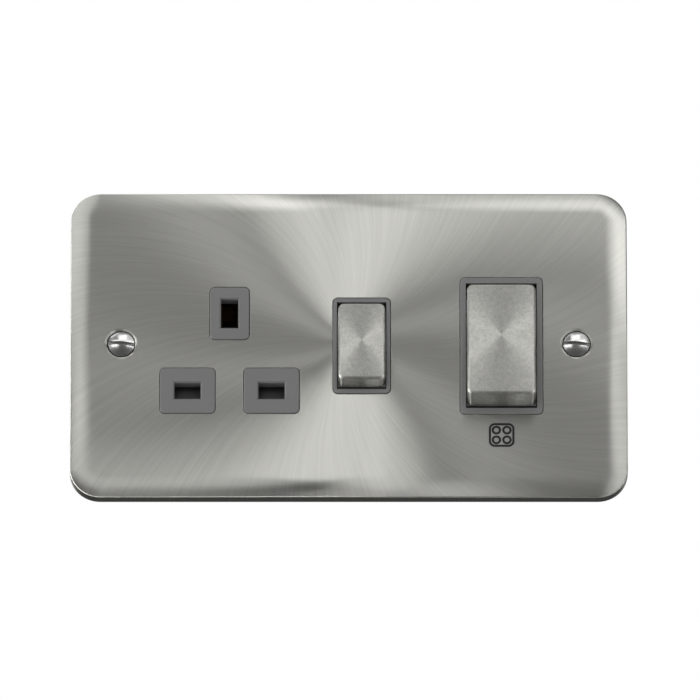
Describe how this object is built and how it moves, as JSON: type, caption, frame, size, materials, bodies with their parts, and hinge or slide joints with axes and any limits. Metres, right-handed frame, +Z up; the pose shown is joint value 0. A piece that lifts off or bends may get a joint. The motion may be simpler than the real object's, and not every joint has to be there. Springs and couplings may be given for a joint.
{
  "type": "cooker control unit",
  "caption": "Flush wall unit with a large rocker switch for a cooker and a shuttered, switched socket outlet, on a brushed metal plate.",
  "frame": {"origin": "middle of the plate, midway between the fixing screws, in the plane of the wall", "axes": "+X to the right seen from the front, +Y into the wall along the fixing screws, +Z up"},
  "size_m": [0.1474, 0.0371, 0.0874],
  "materials": {
    "plate": "brushed",
    "cap": "brushed",
    "insert": "moulded, satin",
    "rocker": "moulded, satin",
    "housing": "moulded, fine grain",
    "bright_screw": "polished",
    "zinc_steel": "zinc plated",
    "contact": "rolled strip",
    "terminal": "machined",
    "terminal_screw": "turned",
    "plunger": "moulded",
    "spring": "drawn wire",
    "shutter": "moulded"
  },
  "bodies": {
    "unit": {"front_plate": "plate", "insert_moulding": "insert", "rear_housing": "housing", "fixing_screws": "bright_screw", "assembly_screws": "zinc_steel", "push_nuts": "zinc_steel", "cooker_rocker_pin": "zinc_steel", "socket_rocker_pin": "zinc_steel", "shutter_spring": "spring", "earth_strap": "contact", "supply_live_contact": "contact", "supply_neutral_contact": "contact", "load_live_fulcrum": "contact", "load_neutral_fulcrum": "contact", "socket_live_fulcrum": "contact", "live_link": "contact", "neutral_link": "contact", "earth_bar": "contact", "live_jaws": "contact", "neutral_jaws": "contact", "earth_jaws": "contact", "contact_rivets": "contact", "supply_live_terminal": "terminal", "supply_neutral_terminal": "terminal", "supply_earth_terminal": "terminal", "load_live_terminal": "terminal", "load_neutral_terminal": "terminal", "load_earth_terminal": "terminal", "terminal_screws": "terminal_screw"},
    "large_rocker": {"cooker_rocker": "rocker", "cooker_rocker_cap": "cap", "cooker_plungers": "plunger", "cooker_plunger_springs": "spring"},
    "small_rocker": {"socket_rocker": "rocker", "socket_rocker_cap": "cap", "socket_plunger": "plunger", "socket_plunger_spring": "spring"},
    "large_blades": {"cooker_live_blade": "contact", "cooker_neutral_blade": "contact"},
    "small_blade": {"socket_blade": "contact"},
    "shutter_slide": {"shutter": "shutter"}
  },
  "joints": [
    {"name": "cooker_switch", "type": "hinge", "parent": "unit", "child": "large_rocker", "pos_m": [0.0404, 0.00035, -0.00065], "axis": [1, 0, 0], "range_deg": [0, 16]},
    {"name": "cooker_blades_rock", "type": "hinge", "parent": "unit", "child": "large_blades", "pos_m": [0.0404, 0.01455, -0.00065], "axis": [1, 0, 0], "range_deg": [-12.8, 0]},
    {"name": "socket_switch", "type": "hinge", "parent": "unit", "child": "small_rocker", "pos_m": [0.0034, -0.00095, -0.00065], "axis": [1, 0, 0], "range_deg": [0, 16]},
    {"name": "socket_blade_rock", "type": "hinge", "parent": "unit", "child": "small_blade", "pos_m": [0.0034, 0.01115, -0.00065], "axis": [1, 0, 0], "range_deg": [-12.8, 0]},
    {"name": "shutter_drop", "type": "slide", "parent": "unit", "child": "shutter_slide", "axis": [0, 0, -1], "range_m": [0, 0.00577], "stiffness_N_per_m": 150, "springref_m": -0.004, "deforming": ["shutter_spring"]}
  ],
  "couplings": [
    {"joint": "cooker_blades_rock", "follows": "cooker_switch", "ratio": -0.8},
    {"joint": "socket_blade_rock", "follows": "socket_switch", "ratio": -0.8}
  ]
}
